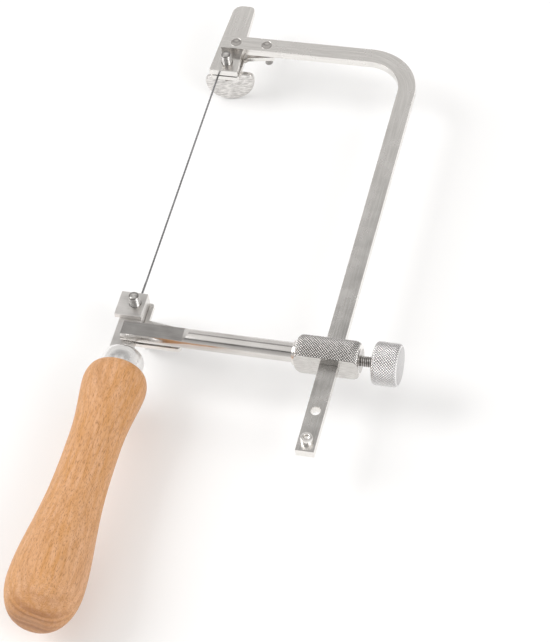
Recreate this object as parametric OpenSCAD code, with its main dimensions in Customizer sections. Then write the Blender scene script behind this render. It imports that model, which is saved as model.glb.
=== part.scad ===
/* [Bow] */
// Width of the flat bar, seen from the front
bar_w = 6.4; // [5.2:0.1:8]
// Thickness of the flat bar
bar_t = 3; // [2.4:0.1:4]
// Clear depth from the blade to the spine
throat = 70.7; // [50:0.5:140]
// Outer radius of the bend
bend_r = 20; // [12:0.5:30]
// Length of the arm's end past the blade
arm_over = 0.6; // [0:0.1:2]
// Length of the spine below the lower arm
tail_len = 40.5; // [30:0.5:90]
// Diameter of the spare stop hole
spare_hole_d = 3.4; // [2.5:0.1:4]
// Distance of the spare stop hole from the stop screw
stop_step = 12.5; // [8:0.5:20]
// Distance of the stop screw from the spine's end
stop_edge = 4.1; // [3:0.1:8]
// Diameter of the stop screw's head
stop_head_d = 4.2; // [3.6:0.1:5]
// Height of the stop screw's head
stop_head_h = 2.4; // [1.5:0.1:4]

/* [Blade] */
// Full length of the blade
blade_len = 130; // [100:1:160]
// Width of the blade, tooth tips included
blade_w = 0.72; // [0.5:0.02:1]
// Thickness of the blade
blade_t = 0.34; // [0.24:0.02:0.5]
// Plain length at each end
blade_plain = 11; // [8:0.5:16]
// Distance from tooth to tooth
tooth_pitch = 0.9; // [0.6:0.05:1.5]
// Depth of the teeth
tooth_depth = 0.26; // [0.15:0.01:0.35]
// Length of blade held in the lower clamp
lower_grip = 2.3; // [2:0.1:3]
// Length of blade held in the upper clamp
upper_grip = 16.9; // [10:0.1:20]

/* [Fixed jaws] */
// Thickness of the nose plate and of the neck plate
plate_t = 2.8; // [2:0.1:4]
// Width of the nose plate at its jaw
nose_w = 10.9; // [9:0.1:14]
// Width of the nose plate at its tip
nose_tip_w = 8.3; // [6:0.1:11]
// Length of the nose plate
nose_len = 34.8; // [28:0.1:45]
// Distance from the upper jaw's edge to the arm's middle
arm_rise = 12.5; // [11:0.1:15]
// Width of the square pad on the lower jaw
pad_w = 9.7; // [8:0.1:12]
// Height of the square pad
pad_h = 10.3; // [8:0.1:11]
// Thickness of the square pad
pad_t = 2; // [1:0.1:3]
// Width of the neck plate
neck_w = 8; // [6:0.1:9]
// Width of the tang inside the handle
tang_w = 5; // [3.5:0.1:6]
// Length of the tang inside the handle
tang_len = 38; // [20:1:60]

/* [Loose jaws] */
// Thickness of the loose jaw
leaf_t = 1.8; // [1.2:0.1:2.4]
// How far the loose jaw opens
jaw_open = 1; // [0.5:0.1:1.2]
// Diameter of the guide pin and of the rivets
pin_d = 3; // [2:0.1:3.4]
// Diameter of a rivet's countersunk head
rivet_head_d = 4.2; // [3.6:0.1:5]
// Distance of the guide pin from the blade
pin_out = 16.6; // [14:0.1:20]
// Radius of the loose jaw's end round the guide pin
lug_r = 3.2; // [2.6:0.1:4]

/* [Thumb screws] */
// Diameter of the thumb screw
screw_d = 4; // [3:0.1:4.2]
// Length of the upper screw's tip past the bow's front face
upper_tip = 1.1; // [0.5:0.1:4]
// Length of the lower screw's tip past the bow's front face
lower_tip = 3.2; // [0.5:0.1:5]
// Width of the oval paddle
paddle_w = 18.6; // [14:0.2:22]
// Height of the oval paddle
paddle_h = 13.2; // [9:0.2:18]
// Thickness of the oval paddle
paddle_t = 1.9; // [1.4:0.1:2.6]
// Diameter of the collar under the paddle
collar_d = 6.6; // [5:0.1:8]
// Height of the collar under the paddle
collar_h = 1.1; // [0.6:0.1:2]
// Turn of the upper paddle from the arm's direction
upper_turn = 11; // [-90:1:90]
// Turn of the lower paddle from the arm's direction
lower_turn = -60; // [-90:1:90]

/* [Lower arm and slider] */
// Diameter of the round lower arm
arm_d = 6.9; // [6:0.1:9]
// Length of the flat filed on the lower arm
flat_len = 22; // [20:0.5:30]
// Depth filed off the front of the lower arm
flat_depth = 1.45; // [0.8:0.05:1.8]
// Diameter of the slider's barrel
barrel_d = 13.6; // [12:0.1:18]
// Width across the barrel's two flats
barrel_flats = 9.2; // [8:0.1:12]
// Barrel length between the lower arm and the spine
barrel_near = 9.2; // [7:0.1:14]
// Barrel length past the spine
barrel_far = 7.1; // [5:0.1:12]
// Rounding of the barrel's ends
barrel_round = 2.6; // [1:0.1:4]
// Diameter of the ring where the lower arm enters the barrel
ring_d = 8.6; // [8:0.1:10]
// Length of that ring
ring_len = 0.9; // [0.5:0.1:2]

/* [Clamp screw] */
// Diameter of the clamp screw
clamp_d = 4; // [3:0.1:5]
// Screw length that shows between the barrel and the knob
clamp_show = 4.4; // [3:0.1:8]
// Diameter of the knob
knob_d = 15; // [10:0.2:20]
// Length of the knob
knob_len = 9.2; // [6:0.1:14]
// Rounding of the knob's edges
knob_round = 1.5; // [0.5:0.1:2.5]
// Thickness of the shoe that presses on the spine
shoe_t = 1.5; // [1:0.1:2]

/* [Handle] */
// Distance of the handle's middle from the blade
handle_off = 2.1; // [0.6:0.1:2.2]
// Length of the wooden handle
handle_len = 101.4; // [85:0.1:140]
// Diameter at the handle's mouth
mouth_d = 16.6; // [15:0.1:18]
// Diameter of the bulge below the mouth
bulge_d = 22.4; // [20:0.2:26]
// Distance of the bulge from the mouth
bulge_at = 6.5; // [4:0.5:12]
// Diameter of the waist
waist_d = 18.2; // [15:0.2:20]
// Distance of the waist from the mouth
waist_at = 30; // [22:1:45]
// Diameter of the belly
belly_d = 25.8; // [22:0.2:34]
// Distance of the belly from the butt
belly_at = 15; // [12:0.5:22]
// Diameter of the flat turned at the butt
butt_d = 8; // [4:0.2:12]
// Outer diameter of the ferrule
ferrule_d = 15; // [13:0.1:16]
// Wall of the ferrule
ferrule_wall = 1; // [0.6:0.1:1.4]
// Straight length of the ferrule
ferrule_len = 4.2; // [2:0.1:10]
// Height of the ferrule's domed cap
dome_h = 4.2; // [3:0.1:7]
// Radius of the flat on top of the dome
dome_top_r = 4.6; // [4:0.1:6]
// Distance from the lower arm's middle to the dome's top
dome_drop = 7.6; // [5:0.1:12]

/* [Hidden] */
$fn = 64;

// Running clearance of a sliding or turning fit
run_gap = 0.06;
// Clearance of a driven or brazed fit
seat_gap = 0.02;
// Overrun of every cut
cut = 1;

// Heights above the front face of the bar, which is at zero
arm_z = -bar_t / 2;
plate_z = -bar_t - plate_t;
blade_z = plate_z - seat_gap - blade_t;
leaf_z = blade_z - seat_gap - leaf_t;
collar_z = leaf_z - run_gap - collar_h;
paddle_z = collar_z - paddle_h;
tang_z = plate_z + plate_t / 2;
flat_z = arm_z + arm_d / 2 - flat_depth;
// Tails of the guide pins, long enough for the open loose jaw
pin_spare = 0.3;
pin_tail_z = leaf_z - jaw_open - pin_spare;
// Front face of the upper tab where its crank ends
tab_z = -bar_t - leaf_t;

// Places along the blade, from the middle of the lower arm
pad_low = 4.8;
jaw_lip = 1.5;
jaw_top = pad_low + pad_h + jaw_lip;
blade_low = jaw_top - lower_grip;
nose_low = blade_low + blade_len - upper_grip;
upper_arm_y = nose_low + arm_rise;
nose_high = nose_low + nose_len;
stop_y = -tail_len + stop_edge;

// Places of the screws, rivets and pins: the blade passes the upper screw and ends over the lower one
lower_pin_rise = 1;
nose_mid = 2.2;
upper_screw_out = 2.7;
upper_screw_rise = 4.7;
lower_screw_out = 0.6;
blade_spare = 0.3;
upper_screw = [upper_screw_out, nose_low + upper_screw_rise];
lower_screw = [lower_screw_out, blade_low - blade_spare - run_gap - screw_d / 2];
lower_pin = [pin_out, lower_pin_rise];
rivet_x = 4.6;
neck_rivet_x = 1;
pad_right = 4.1;

// Rounding of the nose plate's two tip corners
tip_left_r = 3.6;
tip_right_r = 2;

// Loose jaws: how far they pass the fixed jaws' edge, their corners, crank and tab edges
leaf_side = 1.6;
leaf_round = 1.2;
crank_run = 1.7;
tab_over = 0.3;
tab_from = nose_mid + nose_w / 2 + tab_over;
tab_rise = 4.3;
tab_fall = 1.9;
tab_high = pad_low + tab_rise;
tab_low = -1.6;
// Screw tips, and the tongue that seats in the paddle
tip_round = 0.6;
tongue_w = 3.4;
tongue_h = 3;
paddle_round = 3.4;
square_share = 0.62;
paddle_steps = 64;
// Share of a tooth's pitch where its tip lies
tooth_rake_share = 0.12;
// The lower arm's end inside the barrel
spigot_d = 5;
spigot_len = 6.4;
barrel_len = barrel_near + bar_w + barrel_far;
// Metal left over the clamp screw's end in the knob
knob_skin = 1.2;
body_steps = 40;
// How early the bulge falls to the waist, and how late the waist swells to the belly
fall_ease_share = 0.75;
rise_ease_share = 1.5;

ferrule_r = ferrule_d / 2;
mouth_y = -dome_drop - dome_h - ferrule_len;
butt_y = mouth_y - handle_len;
spine_mid = throat + bar_w / 2;
knob_x = throat + bar_w + barrel_far + clamp_show;
barrel_x = throat - barrel_near;

// Middle and lowest point of the whole saw, which set its origin
low_x = handle_off - belly_d / 2;
high_x = knob_x + knob_len;
mid_x = (low_x + high_x) / 2;
mid_y = (butt_y + nose_high) / 2;
low_z = min(paddle_z, tang_z - belly_d / 2);

nickel = [0.78, 0.77, 0.75];
steel = [0.62, 0.61, 0.6];
dark_steel = [0.3, 0.3, 0.31];
beech = [0.84, 0.64, 0.45];

module seated(tone) {
    color(tone) translate([-mid_x, -mid_y, -low_z]) children();
}

// A plate cut from an outline, with its back at z_low
module plate(z_low, thick) {
    translate([0, 0, z_low]) linear_extrude(thick) children();
}

// A straight round hole or pin along Z
module post(place, z_low, z_high, d) {
    translate([place[0], place[1], z_low]) cylinder(d = d, h = z_high - z_low);
}

// A rivet with its countersunk head at z_high
module rivet(place, z_low, z_high, d, head_d) {
    sink = (head_d - d) / 2;
    post(place, z_low, z_high, d);
    translate([place[0], place[1], z_high - sink]) cylinder(d1 = d, d2 = head_d, h = sink);
}

// Waste outside a rounded corner, for a corner at place that points the way of turn
module corner_waste(place, r, turn) {
    translate(place) rotate(turn) translate([-r, -r]) difference() {
        square(r + cut);
        circle(r);
    }
}

// Turns a profile drawn along X and its radius about an axis along X
module turned_x(x, y, z) {
    translate([x, y, z]) rotate([0, 90, 0]) rotate_extrude() children();
}

// Turns a profile drawn as radius and distance about an axis along Y, distances growing downwards
module turned_y(x, y, z) {
    translate([x, y, z]) rotate([90, 0, 0]) rotate_extrude() children();
}

module frame_bow() seated(nickel) difference() {
    plate(-bar_t, bar_t) {
        translate([-arm_over, upper_arm_y - bar_w / 2])
            square([throat + bar_w - bend_r + arm_over, bar_w]);
        translate([throat, -tail_len])
            square([bar_w, upper_arm_y + bar_w / 2 - bend_r + tail_len]);
        translate([throat + bar_w - bend_r, upper_arm_y + bar_w / 2 - bend_r])
            intersection() {
                difference() {
                    circle(bend_r);
                    circle(bend_r - bar_w);
                }
                square(bend_r);
            }
    }
    post([spine_mid, stop_y + stop_step], -bar_t - cut, cut, spare_hole_d);
    post([spine_mid, stop_y], -bar_t - cut, cut, pin_d + 2 * seat_gap);
    for (x = [rivet_x, pin_out])
        rivet([x, upper_arm_y], -bar_t - cut, 0, pin_d + 2 * seat_gap, rivet_head_d + 2 * seat_gap);
}

module stop_screw() seated(nickel) difference() {
    union() {
        post([spine_mid, stop_y], -bar_t, stop_head_h, pin_d);
        post([spine_mid, stop_y], seat_gap, stop_head_h, stop_head_d);
    }
    post([spine_mid, stop_y], stop_head_h / 2, stop_head_h + cut, stop_head_d / 2);
}

module nose_plate() seated(nickel) difference() {
    plate(plate_z, plate_t - seat_gap) polygon([
        [nose_mid - nose_w / 2, nose_low],
        [nose_mid + nose_w / 2, nose_low],
        each [for (a = [0:15:90]) [
            nose_mid + nose_tip_w / 2 - tip_right_r * (1 - cos(a)),
            nose_high - tip_right_r * (1 - sin(a))]],
        each [for (a = [90:15:180]) [
            nose_mid - nose_tip_w / 2 + tip_left_r * (1 + cos(a)),
            nose_high - tip_left_r * (1 - sin(a))]]]);
    post([rivet_x, upper_arm_y], plate_z - cut, cut, pin_d + 2 * seat_gap);
    post(upper_screw, plate_z - cut, cut, screw_d + 2 * run_gap);
}

module nose_plate_rivet() seated(steel)
    rivet([rivet_x, upper_arm_y], plate_z, 0, pin_d, rivet_head_d);

module upper_guide_pin() seated(steel) {
    rivet([pin_out, upper_arm_y], pin_tail_z, 0, pin_d, rivet_head_d);
}

// The upper loose jaw lies flat behind the nose plate and its tab is cranked up to the arm's back
module upper_loose_jaw() seated(nickel) difference() {
    union() {
        plate(leaf_z, leaf_t) difference() {
            translate([nose_mid - nose_w / 2, nose_low])
                square([tab_from - nose_mid + nose_w / 2, arm_rise + bar_w / 2]);
            corner_waste([nose_mid - nose_w / 2, nose_low], leaf_round, 180);
            corner_waste([tab_from, nose_low], leaf_round, -90);
        }
        translate([0, upper_arm_y + bar_w / 2, 0]) rotate([90, 0, 0]) linear_extrude(bar_w) polygon([
            [tab_from - leaf_t, leaf_z],
            [tab_from, leaf_z],
            [tab_from + crank_run, tab_z - leaf_t],
            [pin_out + lug_r, -bar_t - run_gap - leaf_t],
            [pin_out + lug_r, -bar_t - run_gap],
            [tab_from + crank_run, tab_z],
            [tab_from, leaf_z + leaf_t],
            [tab_from - leaf_t, leaf_z + leaf_t]]);
    }
    post(upper_screw, leaf_z - cut, cut, screw_d + 2 * run_gap);
    post([pin_out, upper_arm_y], leaf_z - cut, cut, pin_d + 2 * run_gap);
}

module lower_loose_jaw() seated(nickel) difference() {
    plate(leaf_z, leaf_t) difference() {
        polygon([
            [pad_right - neck_w, jaw_top],
            [pad_right + leaf_side, jaw_top],
            [pad_right + leaf_side, tab_high],
            [pin_out + lug_r, tab_high - tab_fall],
            [pin_out + lug_r, tab_low],
            [pad_right - neck_w, tab_low]]);
        corner_waste([pad_right - neck_w, jaw_top], leaf_round, 90);
        corner_waste([pad_right + leaf_side, jaw_top], leaf_round, 0);
        corner_waste([pin_out + lug_r, tab_low], leaf_round, -90);
    }
    post(lower_screw, leaf_z - cut, cut, screw_d + 2 * run_gap);
    post(lower_pin, leaf_z - cut, cut, pin_d + 2 * run_gap);
}

// A thumb screw: tip, shank, collar and the tongue that the paddle is let into
module thumb_screw(place, turn, tip_out) seated(steel) translate([place[0], place[1], 0]) rotate([0, 0, turn]) {
    translate([0, 0, collar_z]) cylinder(d = collar_d, h = collar_h);
    translate([0, 0, collar_z]) cylinder(d = screw_d, h = tip_out - tip_round - collar_z);
    translate([0, 0, tip_out - tip_round])
        cylinder(d1 = screw_d, d2 = screw_d - 2 * tip_round, h = tip_round);
    translate([-tongue_w / 2, -paddle_t / 2, collar_z - tongue_h]) cube([tongue_w, paddle_t, tongue_h + cut / 2]);
}

// The edge of a paddle: nearly straight along the collar, then half an oval
function paddle_edge(a) = sin(a) > 0 ? [
    paddle_w / 2 * sign(cos(a)) * pow(abs(cos(a)), square_share),
    paddle_round * (pow(sin(a), square_share) - 1)] : [
    paddle_w / 2 * cos(a),
    (paddle_h - paddle_round) * sin(a) - paddle_round];

module thumb_paddle(place, turn) seated(nickel)
    translate([place[0], place[1], collar_z]) rotate([0, 0, turn]) rotate([90, 0, 0])
        translate([0, 0, -paddle_t / 2]) difference() {
            linear_extrude(paddle_t) polygon([for (i = [0:paddle_steps - 1]) paddle_edge(i * 360 / paddle_steps)]);
            translate([-tongue_w / 2 - seat_gap, -tongue_h - seat_gap, -cut])
                cube([tongue_w + 2 * seat_gap, tongue_h + seat_gap + cut, paddle_t + 2 * cut]);
        }

module upper_thumb_screw() thumb_screw(upper_screw, upper_turn, upper_tip);
module upper_thumb_paddle() thumb_paddle(upper_screw, upper_turn);
module lower_thumb_screw() thumb_screw(lower_screw, lower_turn, lower_tip);
module lower_thumb_paddle() thumb_paddle(lower_screw, lower_turn);

// The blade's teeth face away from the spine and point down to the handle
tooth_low = blade_low + blade_plain;
teeth = floor((blade_len - 2 * blade_plain) / tooth_pitch);
module blade() seated(dark_steel) plate(blade_z, blade_t) polygon(concat(
    [[blade_w / 2, blade_low + blade_len], [-blade_w / 2, blade_low + blade_len]],
    [for (i = [teeth - 1:-1:0]) each [
        [-blade_w / 2 + tooth_depth, tooth_low + (i + 1) * tooth_pitch],
        [-blade_w / 2, tooth_low + (i + tooth_rake_share) * tooth_pitch]]],
    [[-blade_w / 2 + tooth_depth, tooth_low],
    [-blade_w / 2, tooth_low - tooth_pitch * tooth_rake_share],
    [-blade_w / 2, blade_low], [blade_w / 2, blade_low]]));

module lower_arm() seated(nickel) difference() {
    union() {
        turned_x(-arm_over, 0, arm_z) square([arm_d / 2, barrel_x - ring_len + arm_over - seat_gap]);
        turned_x(0, 0, arm_z) square([spigot_d / 2, barrel_x + spigot_len]);
    }
    translate([0, arm_d, 0]) rotate([90, 0, 0]) linear_extrude(2 * arm_d) polygon([
        [-arm_over - cut, flat_z],
        [flat_len - arm_over, flat_z],
        [flat_len - arm_over + 2 * flat_depth, flat_z + flat_depth + cut / 2],
        [-arm_over - cut, flat_z + flat_depth + cut / 2]]);
    translate([-arm_over - cut, -arm_d, -bar_t - arm_d])
        cube([arm_over + cut + pad_right + seat_gap, 2 * arm_d, arm_d]);
    post([neck_rivet_x, 0], -bar_t - cut, arm_d, pin_d + 2 * seat_gap);
    post(lower_pin, arm_z - arm_d, arm_z, pin_d + 2 * seat_gap);
}

module neck_plate() seated(nickel) difference() {
    plate(plate_z, plate_t - seat_gap) polygon([
        [pad_right, jaw_top],
        [pad_right - neck_w, jaw_top],
        [pad_right - neck_w, -dome_drop - dome_h + ferrule_wall],
        [handle_off - tang_w / 2, mouth_y + ferrule_len],
        [handle_off - tang_w / 2, mouth_y - tang_len + tang_w],
        [handle_off, mouth_y - tang_len],
        [handle_off + tang_w / 2, mouth_y - tang_len + tang_w],
        [handle_off + tang_w / 2, mouth_y + ferrule_len],
        [pad_right, -dome_drop - dome_h + ferrule_wall]]);
    post(lower_screw, plate_z - cut, cut, screw_d + 2 * run_gap);
    post([neck_rivet_x, 0], plate_z - cut, cut, pin_d + 2 * seat_gap);
}

module jaw_pad() seated(nickel) difference() {
    plate(-bar_t, pad_t) translate([pad_right - pad_w, jaw_top - pad_h]) square([pad_w, pad_h]);
    post(lower_screw, -bar_t - cut, cut, screw_d + 2 * run_gap);
}

module neck_plate_rivet() seated(steel) post([neck_rivet_x, 0], plate_z, flat_z, pin_d);

module lower_guide_pin() seated(steel) post(lower_pin, pin_tail_z, arm_z - seat_gap, pin_d);

// The barrel is turned, then milled flat above and below and slotted for the spine
module slider_barrel() seated(nickel) difference() {
    union() {
        intersection() {
            turned_x(barrel_x, 0, arm_z) barrel_profile();
            translate([barrel_x, -barrel_flats / 2, arm_z - barrel_d])
                cube([barrel_len, barrel_flats, 2 * barrel_d]);
        }
        turned_x(barrel_x - ring_len, 0, arm_z) square([ring_d / 2, ring_len + barrel_round]);
    }
    turned_x(barrel_x - ring_len - cut, 0, arm_z)
        square([spigot_d / 2 + seat_gap, ring_len + cut + spigot_len + seat_gap]);
    turned_x(spine_mid, 0, arm_z) square([clamp_d / 2 + run_gap, barrel_len]);
    translate([throat - run_gap, -barrel_d, -bar_t - run_gap])
        cube([bar_w + 2 * run_gap, 2 * barrel_d, bar_t + 2 * run_gap]);
}

// Half outline of the barrel, with both ends rounded
module barrel_profile() {
    translate([0, barrel_round]) square([barrel_d / 2, barrel_len - 2 * barrel_round]);
    square([barrel_d / 2 - barrel_round, barrel_len]);
    for (x = [barrel_round, barrel_len - barrel_round])
        translate([barrel_d / 2 - barrel_round, x]) circle(barrel_round);
}

module pressure_shoe() seated(steel) turned_x(throat + bar_w + seat_gap, 0, arm_z) square([clamp_d / 2 - seat_gap, shoe_t]);

module clamp_screw() seated(steel) turned_x(throat + bar_w + 2 * seat_gap + shoe_t, 0, arm_z)
    square([clamp_d / 2, knob_x + knob_len - knob_skin - throat - bar_w - 2 * seat_gap - shoe_t]);

module clamp_knob() seated(nickel) difference() {
    turned_x(knob_x, 0, arm_z) {
        translate([0, knob_round]) square([knob_d / 2, knob_len - 2 * knob_round]);
        square([knob_d / 2 - knob_round, knob_len]);
        for (x = [knob_round, knob_len - knob_round])
            translate([knob_d / 2 - knob_round, x]) circle(knob_round);
    }
    turned_x(knob_x - cut, 0, arm_z)
        square([clamp_d / 2 + seat_gap, cut + knob_len - knob_skin + seat_gap]);
}

// The ferrule is a pressed cap: a domed top and a short tube, with a slot for the neck plate
module ferrule() seated(nickel) difference() {
    turned_y(handle_off, -dome_drop, tang_z)
        polygon(concat(dome_edge(0), [for (i = [dome_steps:-1:0]) dome_edge(ferrule_wall)[i]]));
    translate([pad_right - neck_w - seat_gap, -dome_drop - dome_h, plate_z - seat_gap])
        cube([neck_w + 2 * seat_gap, dome_h + cut, plate_t + 2 * seat_gap]);
}

// Edge of the cap from its middle to its rim, drawn in by a wall, as radius and distance
dome_steps = 9;
function dome_edge(wall) = [
    [0, wall],
    each [for (i = [0:dome_steps - 2]) let (a = 90 * i / (dome_steps - 2)) [
        dome_top_r - wall + (ferrule_r - dome_top_r) * sin(a),
        dome_h - (dome_h - wall) * cos(a)]],
    [ferrule_r - wall, dome_h + ferrule_len]];

// Radius of the handle at a distance from its mouth, in smooth swells between its four turned sizes
function swell(a, b, t) = a + (b - a) * (1 - cos(180 * t)) / 2;
function handle_r(s) = s < waist_at ?
    swell(bulge_d, waist_d, pow((s - bulge_at) / (waist_at - bulge_at), fall_ease_share)) / 2 :
    swell(waist_d, belly_d, pow((s - waist_at) / (handle_len - belly_at - waist_at), rise_ease_share)) / 2;

module handle() seated(beech) difference() {
    union() {
        turned_y(handle_off, mouth_y, tang_z) polygon(concat(
            [[0, 0]],
            [for (a = [0:10:80]) [mouth_d / 2 + (bulge_d - mouth_d) / 2 * sin(a), bulge_at * (1 - cos(a))]],
            [for (i = [0:body_steps]) let (s = bulge_at + (handle_len - belly_at - bulge_at) * i / body_steps)
                [handle_r(s), s]],
            [for (a = [8:8:90]) [butt_d / 2 + (belly_d - butt_d) / 2 * cos(a),
                handle_len - belly_at + belly_at * sin(a)]],
            [[0, handle_len]]));
        turned_y(handle_off, mouth_y + ferrule_len - seat_gap, tang_z)
            square([ferrule_r - ferrule_wall - seat_gap, ferrule_len]);
    }
    translate([handle_off - tang_w / 2 - seat_gap, mouth_y - tang_len - cut, plate_z - seat_gap])
        cube([tang_w + 2 * seat_gap, tang_len + ferrule_len + 2 * cut, plate_t + 2 * seat_gap]);
}

frame_bow();
stop_screw();
nose_plate();
nose_plate_rivet();
upper_guide_pin();
upper_loose_jaw();
upper_thumb_screw();
upper_thumb_paddle();
blade();
lower_arm();
neck_plate();
jaw_pad();
neck_plate_rivet();
lower_guide_pin();
lower_loose_jaw();
lower_thumb_screw();
lower_thumb_paddle();
slider_barrel();
pressure_shoe();
clamp_screw();
clamp_knob();
ferrule();
handle();
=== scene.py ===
import bpy, bmesh, math
from mathutils import Matrix, Vector


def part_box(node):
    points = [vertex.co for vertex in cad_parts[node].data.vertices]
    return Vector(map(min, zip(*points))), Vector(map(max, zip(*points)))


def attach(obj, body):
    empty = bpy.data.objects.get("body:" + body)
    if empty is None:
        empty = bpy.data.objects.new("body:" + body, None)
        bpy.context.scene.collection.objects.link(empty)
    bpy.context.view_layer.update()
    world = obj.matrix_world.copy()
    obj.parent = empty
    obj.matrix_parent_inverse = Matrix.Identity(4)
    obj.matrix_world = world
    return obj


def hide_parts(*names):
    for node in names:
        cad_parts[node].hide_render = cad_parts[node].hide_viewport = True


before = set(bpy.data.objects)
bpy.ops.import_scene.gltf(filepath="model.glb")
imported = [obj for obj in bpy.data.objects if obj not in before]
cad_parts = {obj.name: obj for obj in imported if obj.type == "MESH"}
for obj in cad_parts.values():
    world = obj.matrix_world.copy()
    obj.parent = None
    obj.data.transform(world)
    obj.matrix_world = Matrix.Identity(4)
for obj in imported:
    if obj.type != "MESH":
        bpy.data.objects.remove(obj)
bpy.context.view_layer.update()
scene = bpy.context.scene


# Camera: a long lens that stands in front of the handle, a little to the right, and looks up along
# the saw as in the photograph. Its three directions were fitted to the saw's edges there.
camera_place = (0.19638, -0.49244, 0.66462)
right = (0.96585, 0.23619, -0.10654)
down = (0.12185, -0.7769, -0.61772)
ahead = (-0.22867, 0.58365, -0.77914)
camera_data = bpy.data.cameras.new("camera")
camera_data.sensor_fit = "HORIZONTAL"
camera_data.sensor_width = 36
camera_data.lens = 157.09
camera_data.clip_start = 0.01
camera = bpy.data.objects.new("camera", camera_data)
camera_turn = Matrix((right, [-v for v in down], [-v for v in ahead])).transposed()
camera.matrix_world = Matrix.Translation(camera_place) @ camera_turn.to_4x4()
scene.collection.objects.link(camera)
scene.camera = camera
scene.view_settings.view_transform = "Standard"


# Studio: a plain white table under the saw, two large soft lamps and a pale room round it.
# Seen from the back over the top to the front, the room has a grey band, a broad light one and
# a narrow dark one, for the plating to show.
def arithmetic(n, operation, second=0.5):
    node = n.new("ShaderNodeMath")
    node.operation = operation
    node.inputs[1].default_value = second
    return node


def white_paper():
    """The camera, and the metal that mirrors the paper, see it a little lighter than the lamps make it."""
    paper = bpy.data.materials.new("white_paper")
    paper.use_nodes = True
    n, l = paper.node_tree.nodes, paper.node_tree.links
    surface = n["Principled BSDF"]
    surface.inputs["Base Color"].default_value = (0.88, 0.88, 0.88, 1)
    surface.inputs["Roughness"].default_value = 0.9
    surface.inputs["Emission Color"].default_value = (1, 1, 1, 1)
    seen = n.new("ShaderNodeLightPath")
    to_camera = arithmetic(n, "MULTIPLY", 0.1)
    to_metal = arithmetic(n, "MULTIPLY_ADD", 0.15)
    l.new(seen.outputs["Is Camera Ray"], to_camera.inputs[0])
    l.new(seen.outputs["Is Glossy Ray"], to_metal.inputs[0])
    l.new(to_camera.outputs[0], to_metal.inputs[2])
    l.new(to_metal.outputs[0], surface.inputs["Emission Strength"])
    return paper


table_half, table_drop = 3, 0.0002
table_mesh = bpy.data.meshes.new("table_top")
bm = bmesh.new()
bmesh.ops.create_grid(bm, x_segments=1, y_segments=1, size=table_half)
bm.to_mesh(table_mesh)
bm.free()
table_mesh.materials.append(white_paper())
table = bpy.data.objects.new("table_top", table_mesh)
table.location.z = -table_drop
scene.collection.objects.link(table)


def softbox(name, place, side, power):
    """A square lamp that faces the saw."""
    data = bpy.data.lights.new(name, "AREA")
    data.shape = "SQUARE"
    data.size = side
    data.energy = power
    lamp = bpy.data.objects.new(name, data)
    lamp.location = place
    lamp.rotation_euler = (-Vector(place)).to_track_quat("-Z", "Y").to_euler()
    scene.collection.objects.link(lamp)


softbox("key", place=(-1.1, -0.1, 1.0), side=0.9, power=9.8)
softbox("fill", place=(1.0, -0.6, 0.8), side=0.7, power=5.4)


def laid_over(n, l, under, colour, mask):
    """The colour over what is under it, as much as the mask says."""
    mix = n.new("ShaderNodeMix")
    mix.data_type = "RGBA"
    mix.inputs["B"].default_value = (*colour, 1)
    l.new(mask, mix.inputs["Factor"])
    l.new(under, mix.inputs["A"])
    return mix.outputs["Result"]


def pale_room():
    """bands: angle up from the back and over, in degrees, and level. The camera itself sees plain white."""
    bands = [(0, 0.78), (38, 0.84), (45.5, 0.87), (48.7, 0.63), (51.3, 0.34), (62, 0.3),
             (67, 0.95), (116, 0.95), (121, 0.12), (130, 0.12), (137, 0.5), (180, 0.75)]
    warmth, white = (1, 0.985, 0.97), (1, 1, 1)
    room = bpy.data.worlds.new("room")
    room.use_nodes = True
    n, l = room.node_tree.nodes, room.node_tree.links
    n.clear()
    result, background = n.new("ShaderNodeOutputWorld"), n.new("ShaderNodeBackground")
    direction, split = n.new("ShaderNodeTexCoord"), n.new("ShaderNodeSeparateXYZ")
    angle, half_turns = arithmetic(n, "ARCTAN2"), arithmetic(n, "MULTIPLY", 1 / math.pi)
    ramp, seen = n.new("ShaderNodeValToRGB"), n.new("ShaderNodeLightPath")
    for degrees, level in bands[1:-1]:
        ramp.color_ramp.elements.new(degrees / 180)
    for stop, (degrees, level) in zip(ramp.color_ramp.elements, bands):
        stop.position = degrees / 180
        stop.color = (*(level * share for share in warmth), 1)
    l.new(direction.outputs["Generated"], split.inputs[0])
    l.new(split.outputs["Z"], angle.inputs[0])
    l.new(split.outputs["Y"], angle.inputs[1])
    l.new(angle.outputs[0], half_turns.inputs[0])
    l.new(half_turns.outputs[0], ramp.inputs[0])
    colour = laid_over(n, l, ramp.outputs[0], white, seen.outputs["Is Camera Ray"])
    l.new(colour, background.inputs["Color"])
    l.new(background.outputs[0], result.inputs[0])
    return room


scene.world = pale_room()


# Bow: one flat steel bar, cut to length, bent cold round a former, its edges eased and then bright
# nickel plated. The plating has faint scratches along the bar and a few shallow marks.
def noise(n, scale, detail):
    node = n.new("ShaderNodeTexNoise")
    node.inputs["Scale"].default_value = scale
    node.inputs["Detail"].default_value = detail
    return node


def spread(n, low, high, to_low=0, to_high=1):
    """Values from low to high are spread from to_low to to_high, and held there past the ends."""
    node = n.new("ShaderNodeMapRange")
    node.inputs["From Min"].default_value = low
    node.inputs["From Max"].default_value = high
    node.inputs["To Min"].default_value = to_low
    node.inputs["To Max"].default_value = to_high
    return node


def relief(n, distance, strength=1):
    node = n.new("ShaderNodeBump")
    node.inputs["Distance"].default_value = distance
    node.inputs["Strength"].default_value = strength
    return node


def vector_step(n, l, operation, start, value=(0, 0, 0)):
    """One step of vector arithmetic on start, and the output that holds its result."""
    node = n.new("ShaderNodeVectorMath")
    node.operation = operation
    node.inputs[1].default_value = value
    l.new(start, node.inputs[0])
    return node.outputs["Value" if operation in ("DOT_PRODUCT", "LENGTH") else "Vector"]


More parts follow.
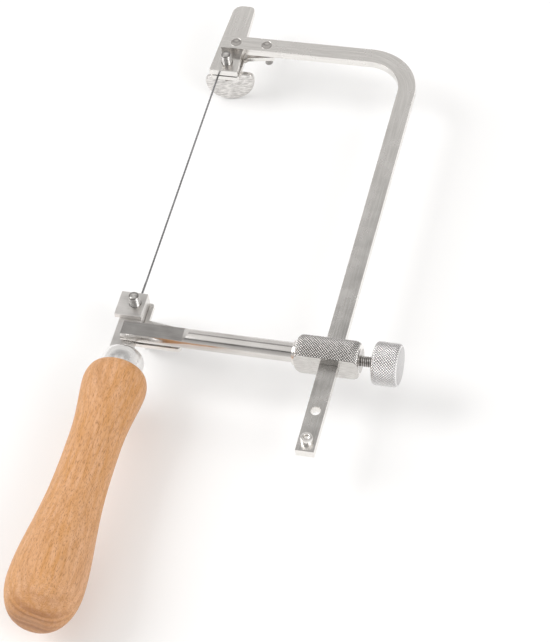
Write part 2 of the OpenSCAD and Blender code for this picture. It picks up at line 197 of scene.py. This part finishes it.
def plating():
    """Takes where the grain lies and how strong it is, and gives the plating's look there."""
    group = bpy.data.node_groups.new("nickel_plating", "ShaderNodeTree")
    for name, way, kind in (("Grain Place", "INPUT", "Vector"), ("Grain", "INPUT", "Float"),
                            ("Roughness", "OUTPUT", "Float"), ("Marks", "OUTPUT", "Float"),
                            ("Normal", "OUTPUT", "Vector")):
        group.interface.new_socket(name, in_out=way, socket_type="NodeSocket" + kind)
    n, l = group.nodes, group.links
    given, result = n.new("NodeGroupInput"), n.new("NodeGroupOutput")
    place, brushed = n.new("ShaderNodeTexCoord"), n.new("ShaderNodeMix")
    scratches, marks = noise(n, scale=1000, detail=4), noise(n, scale=130, detail=5)
    rough = spread(n, low=0.3, high=0.7, to_low=0.19, to_high=0.31)
    shown = spread(n, low=0.35, high=0.65)
    wavy, lines = relief(n, distance=0.0001, strength=0.1), relief(n, distance=0.00002)
    l.new(given.outputs["Grain Place"], scratches.inputs["Vector"])
    l.new(place.outputs["Object"], marks.inputs["Vector"])
    l.new(marks.outputs["Fac"], rough.inputs["Value"])
    l.new(marks.outputs["Fac"], brushed.inputs["A"])
    l.new(scratches.outputs["Fac"], brushed.inputs["B"])
    l.new(given.outputs["Grain"], brushed.inputs["Factor"])
    l.new(brushed.outputs["Result"], shown.inputs["Value"])
    l.new(marks.outputs["Fac"], wavy.inputs["Height"])
    l.new(wavy.outputs[0], lines.inputs["Normal"])
    l.new(scratches.outputs["Fac"], lines.inputs["Height"])
    l.new(given.outputs["Grain"], lines.inputs["Strength"])
    l.new(rough.outputs[0], result.inputs["Roughness"])
    l.new(shown.outputs[0], result.inputs["Marks"])
    l.new(lines.outputs[0], result.inputs["Normal"])
    return group


plating_group = plating()


def nickel(name, lay, grain=0.7, dark=(0.74, 0.72, 0.695), light=(0.86, 0.84, 0.815), painted_groove_shade=None,
           roughness=1, route=None):
    """lay: how closely the scratches lie across each axis; dark, light: the metal in its marks and between;
    the groove colour: painted shade laid into cut grooves, darker the deeper they are cut; roughness: times
    the plating's own; route: turns the lay at a bend."""
    metal = bpy.data.materials.new(name)
    metal.use_nodes = True
    n, l = metal.node_tree.nodes, metal.node_tree.links
    surface = n["Principled BSDF"]
    surface.inputs["Metallic"].default_value = 1
    worn, tone = n.new("ShaderNodeGroup"), n.new("ShaderNodeMix")
    worn.node_tree = plating_group
    worn.inputs["Grain"].default_value = grain
    where = n.new("ShaderNodeTexCoord").outputs["Object"]
    if route:
        where = route(n, l, where)
    l.new(vector_step(n, l, "MULTIPLY", where, lay), worn.inputs["Grain Place"])
    tone.data_type = "RGBA"
    tone.inputs["A"].default_value = (*dark, 1)
    tone.inputs["B"].default_value = (*light, 1)
    l.new(worn.outputs["Marks"], tone.inputs["Factor"])
    colour = tone.outputs["Result"]
    # painted shade: the deeper a groove is cut, the more of the groove colour is laid over the metal
    if painted_groove_shade:
        deep = n.new("ShaderNodeAttribute")
        deep.attribute_name = "deep"
        colour = laid_over(n, l, colour, painted_groove_shade, deep.outputs["Fac"])
    dull = arithmetic(n, "MULTIPLY", roughness)
    l.new(worn.outputs["Roughness"], dull.inputs[0])
    l.new(dull.outputs[0], surface.inputs["Roughness"])
    l.new(worn.outputs["Normal"], surface.inputs["Normal"])
    l.new(colour, surface.inputs["Base Color"])
    return metal


def round_the_bend(n, l, where):
    """X: the distance from the bend's middle, on both legs too. Y: the way along the bar. Z: through it."""
    bend_r = 0.023
    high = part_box("frame_bow")[1]
    from_middle = vector_step(n, l, "SUBTRACT", where, (high.x - bend_r, high.y - bend_r, 0))
    outside = vector_step(n, l, "MAXIMUM", from_middle, (0, 0, -1))
    in_plane = vector_step(n, l, "MULTIPLY", outside, (1, 1, 0))
    thickness, turned = n.new("ShaderNodeSeparateXYZ"), n.new("ShaderNodeCombineXYZ")
    l.new(from_middle, thickness.inputs[0])
    l.new(vector_step(n, l, "LENGTH", in_plane), turned.inputs["X"])
    l.new(vector_step(n, l, "DOT_PRODUCT", from_middle, (1, -1, 0)), turned.inputs["Y"])
    l.new(thickness.outputs["Z"], turned.inputs["Z"])
    return turned.outputs[0]


def dress(name, material, ease):
    """Gives a piece of the frame its finish. Where ease isn't 0, its sharp edges are eased by that width."""
    same_point, same_plane, sharp = 1e-6, math.radians(0.5), math.radians(40)
    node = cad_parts[name]
    node.data.materials.clear()
    node.data.materials.append(material)
    if ease:
        weld = node.modifiers.new("weld", "WELD")
        weld.merge_threshold = same_point
        flat = node.modifiers.new("flat", "DECIMATE")
        flat.decimate_type = "DISSOLVE"
        flat.angle_limit = same_plane
        bevel = node.modifiers.new("ease", "BEVEL")
        bevel.width = ease
        bevel.segments = 3
        bevel.limit_method = "ANGLE"
        bevel.angle_limit = sharp
        bevel.harden_normals = True


# scratches lie close beside each other and are drawn out along one axis
close, drawn = 2.2, 0.07
along_x, along_y, along_z = (drawn, close, close), (close, drawn, close), (close, close, drawn)
dress("frame_bow", nickel("nickel_bow", along_y, route=round_the_bend), ease=0.0003)


# Nose plate: the fixed upper jaw, sheared from steel strip, rounded at its nose and nickel plated.
# It lies behind the bow's end and is riveted there.
strip_nickel = nickel("nickel_plate_length", along_y)
dress("nose_plate", strip_nickel, ease=0.0003)


# Rivet, guide pin and stop screw of the bow: soft steel. A punch sets the first two and leaves each head
# a little hollow, with its rim turned down. The stop screw is drilled up its middle and nickel plated.
def spun(name, outline, sides, place, cut_skin=None):
    """outline: radius and height pairs from one end's middle to the other's; place sets it in the saw;
    cut_skin: the radius that is left at a radius, height and angle, where a pattern is cut or rolled in."""
    full_depth, sharp = 0.0003, math.radians(50)
    last = len(outline) - 1
    bm = bmesh.new()
    # how deep each point is cut is kept, to lay painted shade in the grooves
    deep = bm.verts.layers.float.new("deep")
    bmesh.ops.create_grid(bm, x_segments=sides, y_segments=last, size=1)
    for v in bm.verts:
        angle = math.pi * (1 + v.co.x)
        r, height = outline[round((v.co.y + 1) / 2 * last)]
        if cut_skin and r:
            left = cut_skin(r, height, angle)
            v[deep] = min(1, (r - left) / full_depth)
            r = left
        v.co = (r * math.cos(angle), r * math.sin(angle), height)
    bmesh.ops.remove_doubles(bm, verts=bm.verts, dist=1e-7)
    bmesh.ops.transform(bm, matrix=place, verts=bm.verts)
    bmesh.ops.recalc_face_normals(bm, faces=bm.faces)
    for f in bm.faces:
        f.smooth = True
    for e in bm.edges:
        if len(e.link_faces) == 2 and e.calc_face_angle() > sharp and not cut_skin:
            e.smooth = False
    mesh = bpy.data.meshes.new(name)
    bm.to_mesh(mesh)
    bm.free()
    piece = bpy.data.objects.new(name, mesh)
    scene.collection.objects.link(piece)
    return piece


def fitted(piece, body, slot_name, node, *finishes):
    """Gives a new piece its finishes and its body, and lets it stand for the frame's plain solid."""
    for finish in finishes:
        piece.data.materials.append(finish)
    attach(piece, body)
    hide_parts(node)


pin_r, pin_ease, pin_sides = 0.0015, 0.0001, 48


def headed(node, head):
    """head: radius and depth pairs, from the head's middle out; the shank goes down to the box's foot."""
    low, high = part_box(node)
    middle = (low + high) / 2
    foot = [(0, low.z), (pin_r - pin_ease, low.z), (pin_r, low.z + pin_ease)]
    top = [(r, high.z - depth) for r, depth in reversed(head)]
    return spun(node + "_head", foot + top, pin_sides, Matrix.Translation((middle.x, middle.y, 0)))


hollow, crown_r, rim_r = 0.00034, 0.00185, 0.0022
punched = [(0, hollow), (0.0006, 0.0003), (0.0011, 0.00012), (0.0015, 0.00002), (crown_r, 0),
           (0.0021, 0.00008), (rim_r, 0.0003), (pin_r, 0.0009)]
rivet_steel = nickel("rivet_steel", (3, 3, 3), grain=0.6, dark=(0.42, 0.4, 0.38), light=(0.56, 0.54, 0.52))
for node in ("nose_plate_rivet", "upper_guide_pin"):
    fitted(headed(node, punched), "bow", "screw_steel", node, rivet_steel)

low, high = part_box("stop_screw")
head_r, head_h = (high.x - low.x) / 2, high.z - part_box("frame_bow")[1].z
hole_r, seat_gap = 0.0011, 0.00002
drilled = [(0, head_h * 0.55), (0.0007, head_h * 0.5), (0.00105, head_h * 0.42), (hole_r, 0.00008),
           (hole_r + pin_ease, 0), (head_r - 4 * pin_ease, 0), (head_r - pin_ease, pin_ease),
           (head_r, 4 * pin_ease), (head_r, head_h - seat_gap), (pin_r, head_h - seat_gap)]
cross_nickel = nickel("nickel_plate_width", along_x)
fitted(headed("stop_screw", drilled), "bow", "nickel", "stop_screw", cross_nickel)


# Loose jaws: steel strip, stamped and nickel plated like the nose plate. Each slides on a guide pin by its
# cranked tab, and its thumb screw draws it up to squeeze the blade against the fixed jaw.
for node in ("upper_loose_jaw", "lower_loose_jaw"):
    dress(node, strip_nickel, ease=0.0002)


# Lower clamp: the neck plate, with its square pad, is plain satin nickel. It is riveted behind the round
# lower arm, which is polished steel rod with a flat filed on it. The guide pin is pressed into the plate.
satin_nickel = nickel("satin_nickel", along_x, grain=0.3, dark=(0.7, 0.68, 0.66), light=(0.84, 0.82, 0.8),
                      roughness=1.4)
dress("neck_plate", satin_nickel, ease=0.0002)
dress("jaw_pad", satin_nickel, ease=0.0002)
dress("lower_guide_pin", cross_nickel, ease=0)
polished_nickel = nickel("polished_nickel", along_x, grain=0.5, dark=(0.62, 0.6, 0.58),
                         light=(0.72, 0.7, 0.68), roughness=0.75)
dress("lower_arm", polished_nickel, ease=0.00015)
dress("neck_plate_rivet", polished_nickel, ease=0)


# Blade: hardened carbon steel wire rolled flat, left grey by the temper, its teeth cut along one edge.
# It is pinched between the jaws at both ends and has no plating.
blade_steel = nickel("blade_steel", along_y, grain=0.5, dark=(0.32, 0.32, 0.33), light=(0.39, 0.39, 0.4))
dress("blade", blade_steel, ease=0)


# Thumb screws: turned steel rod with a rolled 0.7 mm thread and a collar, nickel plated. A tongue under
# the collar is let into the oval paddle, which is stamped from sheet and brushed across.
screw_r, screw_sides = 0.002, 48


def steps(low, high, count):
    return [low + (high - low) * i / count for i in range(count + 1)]


def thread(low, high):
    """Cuts a thread into the screw's skin, with a bevel at its low and high ends."""
    pitch, depth, fullness = 0.0007, 0.00036, 0.8

    def skin(r, height, angle):
        turn = (height / pitch - angle / (2 * math.pi)) % 1
        groove = depth * (1 - abs(2 * turn - 1)) ** fullness
        bevel = max(0, depth - (high - height), depth - (height - low))
        return min(r, screw_r - max(groove, bevel))
    return skin


# the thread roots are darkened with painted shade
screw_nickel = nickel("screw_nickel", along_z, grain=0.3, dark=(0.84, 0.82, 0.8), light=(0.94, 0.92, 0.9),
                      painted_groove_shade=(0.2, 0.19, 0.18))
collar_ease, collar_sides = 0.0002, 64
tongue_h, collar_h, root, runout = 0.003, 0.0041, 0.0005, 0.001
for which in ("upper", "lower"):
    node = which + "_thumb_screw"
    low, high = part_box(node)
    middle = (low + high) / 2
    place = Matrix.Translation((middle.x, middle.y, 0))
    collar_r, collar_low, collar_top = (high.x - low.x) / 2, low.z + tongue_h, low.z + collar_h
    foot = collar_top - root
    shank = spun(which + "_screw_thread",
                 [(0, foot)] + [(screw_r, z) for z in steps(foot, high.z, count=200)] + [(0, high.z)],
                 screw_sides, place, thread(foot - runout, high.z))
    fitted(shank, which + "_screw", "screw_steel", node, screw_nickel)
    flat_r = collar_r - collar_ease
    collar = spun(which + "_screw_collar",
                  [(0, collar_low), (flat_r, collar_low), (collar_r, collar_low + collar_ease),
                   (collar_r, collar_top - collar_ease), (flat_r, collar_top), (0, collar_top)],
                  collar_sides, place)
    fitted(collar, which + "_screw", "screw_steel", node, screw_nickel)
brushed_nickel = nickel("brushed_nickel", (0.15, 2.4, 2.4), grain=1, dark=(0.46, 0.445, 0.43),
                        light=(0.84, 0.82, 0.8))
dress("upper_thumb_paddle", brushed_nickel, ease=0.0004)
dress("lower_thumb_paddle", brushed_nickel, ease=0.0004)


# Slider: a turned steel barrel with a diamond knurl rolled in, its ends rounded, and two flats milled
# after that. The spine runs through a slot in the flats, and the lower arm is let into a ring at its end.
def rounded_end(radius, end, inward, corner_r):
    """Outline of a rounded end, from its flat middle to the full radius."""
    flat_r = radius - corner_r
    turns = [math.radians(a) for a in range(0, 91, 6)]
    return [(0, end)] + [(flat_r + corner_r * math.sin(a), end + inward * corner_r * (1 - math.cos(a)))
                         for a in turns]


def knurled_rod(radius, low, high, corner_r, rows):
    """Outline of a rod with rounded ends, with as many rows between them as its knurl needs."""
    middle = [(radius, x) for x in steps(low + corner_r, high - corner_r, rows)[1:-1]]
    return rounded_end(radius, low, 1, corner_r) + middle + rounded_end(radius, high, -1, corner_r)[::-1]


def knurl(starts, depth, low, high, plain):
    """Rolls crossed grooves, starts of them each way round, that fade out where plain is left at the ends."""
    pitch, fade_length, steepness = 0.00096, 0.0005, 1.3

    def skin(r, height, angle):
        u, v = starts * angle / (2 * math.pi), height / pitch
        one, other = abs(((u + v) % 1) * 2 - 1), abs(((u - v) % 1) * 2 - 1)
        inset = min(height - low, high - height)
        fade = min(1, max(0, (inset - plain) / fade_length))
        return r - depth * fade * (1 - min(1, steepness * min(one, other)))
    return skin


low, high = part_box("slider_barrel")
axis_y, axis_z = (low.y + high.y) / 2, (low.z + high.z) / 2
half_flat, barrel_r = (high.y - low.y) / 2, (high.z - low.z) / 2
ring_len, ring_r, ring_ease, ring_sunk = 0.0009, 0.0043, 0.0002, 0.0005
barrel_low = low.x + ring_len
on_arm_axis = Matrix.Translation((0, axis_y, axis_z)) @ Matrix.Rotation(math.pi / 2, 4, "Y")
slider_knurl = knurl(44, 0.00036, barrel_low, high.x, plain=0.0004)
slider = spun("slider_body", knurled_rod(barrel_r, barrel_low, high.x, corner_r=0.0026, rows=150),
              sides=352, place=on_arm_axis, cut_skin=slider_knurl)

# the flats are cut off, and then the slot for the spine is cut through from flat to flat
bar_w, slot_gap, tiny = 0.0064, 0.00006, 1e-8
faces_y, mostly_y = 0.999, 0.98
bm = bmesh.new()
bm.from_mesh(slider.data)
for way in (1, -1):
    bmesh.ops.bisect_plane(bm, geom=bm.verts[:] + bm.edges[:] + bm.faces[:], dist=tiny,
                           plane_co=(0, axis_y + way * half_flat, 0), plane_no=(0, way, 0), clear_outer=True)
    bmesh.ops.contextual_create(bm, geom=[e for e in bm.edges if e.is_boundary])


def on_flat(f):
    touching = 1e-6
    return abs(abs(f.calc_center_median().y - axis_y) - half_flat) < touching


spine_low, spine_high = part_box("frame_bow")
slot_low = Vector((spine_high.x - bar_w - slot_gap, 0, spine_low.z - slot_gap))
slot_high = Vector((spine_high.x + slot_gap, 0, spine_high.z + slot_gap))
for across in ((1, 0, 0), (0, 0, 1)):
    for corner in (slot_low, slot_high):
        flats = [f for f in bm.faces if on_flat(f) and abs(f.normal.y) > faces_y and len(f.verts) > 3]
        parts = set(flats) | {e for f in flats for e in f.edges} | {v for f in flats for v in f.verts}
        bmesh.ops.bisect_plane(bm, geom=list(parts), dist=tiny, plane_co=corner, plane_no=across)
gone = [f for f in bm.faces if on_flat(f) and slot_low.x < f.calc_center_median().x < slot_high.x
        and slot_low.z < f.calc_center_median().z < slot_high.z]
bmesh.ops.delete(bm, geom=gone, context="FACES")
bmesh.ops.bridge_loops(bm, edges=[e for e in bm.edges if e.is_boundary])
bmesh.ops.recalc_face_normals(bm, faces=bm.faces)
for f in bm.faces:
    f.smooth = len(f.verts) == 4 and abs(f.normal.y) < mostly_y
    if not f.smooth:
        f.material_index = 1
        for e in f.edges:
            e.smooth = False
bm.to_mesh(slider.data)
bm.free()
# the knurl's grooves are darkened with painted shade
knurled_nickel = nickel("knurled_nickel", (1, 1, 1), grain=0.2, dark=(0.9, 0.88, 0.86),
                        light=(0.97, 0.95, 0.93), painted_groove_shade=(0.1, 0.095, 0.09), roughness=0.8)
milled_nickel = nickel("milled_nickel", (0.3, 3, 3), grain=1, dark=(0.5, 0.485, 0.465),
                       light=(0.68, 0.665, 0.645))
fitted(slider, "carriage", "nickel", "slider_barrel", knurled_nickel, milled_nickel)
ring_outline = [(0, low.x), (ring_r - ring_ease, low.x), (ring_r, low.x + ring_ease),
                (ring_r, barrel_low + ring_sunk), (0, barrel_low + ring_sunk)]
fitted(spun("slider_ring", ring_outline, collar_sides, on_arm_axis), "carriage", "nickel", "slider_barrel",
       cross_nickel)


# Clamp: a threaded steel rod driven into a turned knob, which has the slider's knurl rolled round its rim
# and a faced end. The rod presses on the spine through a small shoe.
low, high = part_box("clamp_screw")
rod_outline = [(0, low.x)] + [(screw_r, x) for x in steps(low.x, high.x, count=240)] + [(0, high.x)]
rod = spun("clamp_screw_thread", rod_outline, screw_sides, on_arm_axis, thread(low.x, high.x + runout))
fitted(rod, "clamp", "screw_steel", "clamp_screw", screw_nickel)
dress("pressure_shoe", cross_nickel, ease=0)
low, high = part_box("clamp_knob")
knob_r, faces_x = (high.z - low.z) / 2, 0.9
knob_knurl = knurl(48, 0.00027, low.x, high.x, plain=0.0001)
knob = spun("clamp_knob_skin", knurled_rod(knob_r, low.x, high.x, corner_r=0.0015, rows=80),
            sides=384, place=on_arm_axis, cut_skin=knob_knurl)
# the knob's knurl grooves are darkened with painted shade
knob_nickel = nickel("knob_nickel", (1, 1, 1), grain=0.2, dark=(0.93, 0.92, 0.92), light=(0.98, 0.97, 0.97),
                     painted_groove_shade=(0.2, 0.19, 0.19))
# painted shade: the faced end is the same nickel as the rim, given a darker colour
faced_nickel_painted_shade = nickel("faced_nickel_painted_shade", (1, 1, 1), grain=0.2, dark=(0.46, 0.45, 0.45), light=(0.53, 0.52, 0.52))
fitted(knob, "clamp", "nickel", "clamp_knob", knob_nickel, faced_nickel_painted_shade)
for f in knob.data.polygons:
    if abs(f.normal.x) > faces_x:
        f.material_index = 1


# Ferrule: a cup pressed from thin nickelled sheet and slotted for the neck plate's tang.
# It is drawn over the mouth of the handle to keep the wood from splitting.
ferrule_sheet = nickel("ferrule_sheet", along_x, grain=0.4, dark=(0.78, 0.77, 0.76), light=(0.9, 0.89, 0.88))
dress("ferrule", ferrule_sheet, ease=0.0002)


# Handle: turned from one piece of steamed beech, sanded and given a thin satin varnish.
# It is bored for the tang and driven onto it.
def beech():
    """Year rings, warmer and paler streaks over them, dark end grain deepened with painted shade, and short
    dark flecks on top.
    """
    wood = bpy.data.materials.new("beech")
    wood.use_nodes = True
    n, l = wood.node_tree.nodes, wood.node_tree.links
    surface, place = n["Principled BSDF"], n.new("ShaderNodeTexCoord")
    surface.inputs["Roughness"].default_value = 0.5
    surface.inputs["Specular IOR Level"].default_value = 0.35

    # the rings are shells round a heart that ran under the blank, a little askew
    heart = n.new("ShaderNodeMapping")
    heart.inputs["Location"].default_value = (0.056, 0, 0.0475)
    heart.inputs["Rotation"].default_value = (0.15, 0, 0.03)
    l.new(place.outputs["Object"], heart.inputs["Vector"])
    from_heart = vector_step(n, l, "MULTIPLY", heart.outputs[0], (1, 0, 1))
    rings = noise(n, scale=480, detail=2)
    rings.noise_dimensions = "1D"
    l.new(vector_step(n, l, "LENGTH", from_heart), rings.inputs["W"])
    tone = n.new("ShaderNodeValToRGB")
    late_wood, early_wood = tone.color_ramp.elements
    late_wood.position, early_wood.position = 0.38, 0.6
    late_wood.color = (0.56, 0.29, 0.135, 1)
    early_wood.color = (0.655, 0.35, 0.175, 1)
    l.new(rings.outputs["Fac"], tone.inputs[0])

    # what runs with the grain is drawn out along the handle
    grain = n.new("ShaderNodeMapping")
    grain.inputs["Scale"].default_value = (1, 0.1, 1)
    l.new(place.outputs["Object"], grain.inputs["Vector"])

    def along_grain(scale, detail, low, high, most):
        """Where a noise along the grain is over low, as a mask from 0 to most."""
        figure, mask = noise(n, scale, detail), spread(n, low, high, 0, most)
        l.new(grain.outputs[0], figure.inputs["Vector"])
        l.new(figure.outputs["Fac"], mask.inputs["Value"])
        return mask.outputs[0]

    warm = along_grain(scale=45, detail=2, low=0.42, high=0.58, most=0.8)
    streaks = along_grain(scale=850, detail=4, low=0.4, high=0.66, most=0.75)
    flecks = along_grain(scale=6000, detail=3, low=0.53, high=0.68, most=0.9)
    colour = laid_over(n, l, tone.outputs[0], (0.66, 0.325, 0.115), warm)
    colour = laid_over(n, l, colour, (0.76, 0.44, 0.255), streaks)

    # the end grain at the butt drinks more varnish and shows its rings darker; this darkening is made
    # stronger as painted shade on the butt, which faces away from the lamps
    facing, end_grain_and_painted_shade = n.new("ShaderNodeSeparateXYZ"), arithmetic(n, "MULTIPLY")
    faces_end = spread(n, low=-0.3, high=-0.9)
    ring_depth = spread(n, low=0.56, high=0.4, to_low=0.3, to_high=0.75)
    l.new(place.outputs["Normal"], facing.inputs[0])
    l.new(facing.outputs["Y"], faces_end.inputs["Value"])
    l.new(rings.outputs["Fac"], ring_depth.inputs["Value"])
    l.new(faces_end.outputs[0], end_grain_and_painted_shade.inputs[0])
    l.new(ring_depth.outputs[0], end_grain_and_painted_shade.inputs[1])
    colour = laid_over(n, l, colour, (0.33, 0.14, 0.065), end_grain_and_painted_shade.outputs[0])

    # the flecks are the wood's rays, and lie a little below the varnish
    colour = laid_over(n, l, colour, (0.34, 0.15, 0.05), flecks)
    pores = relief(n, distance=0.00006, strength=0.5)
    pores.invert = True
    l.new(flecks, pores.inputs["Height"])
    l.new(pores.outputs[0], surface.inputs["Normal"])
    l.new(colour, surface.inputs["Base Color"])
    return wood


dress("handle", beech(), ease=0)
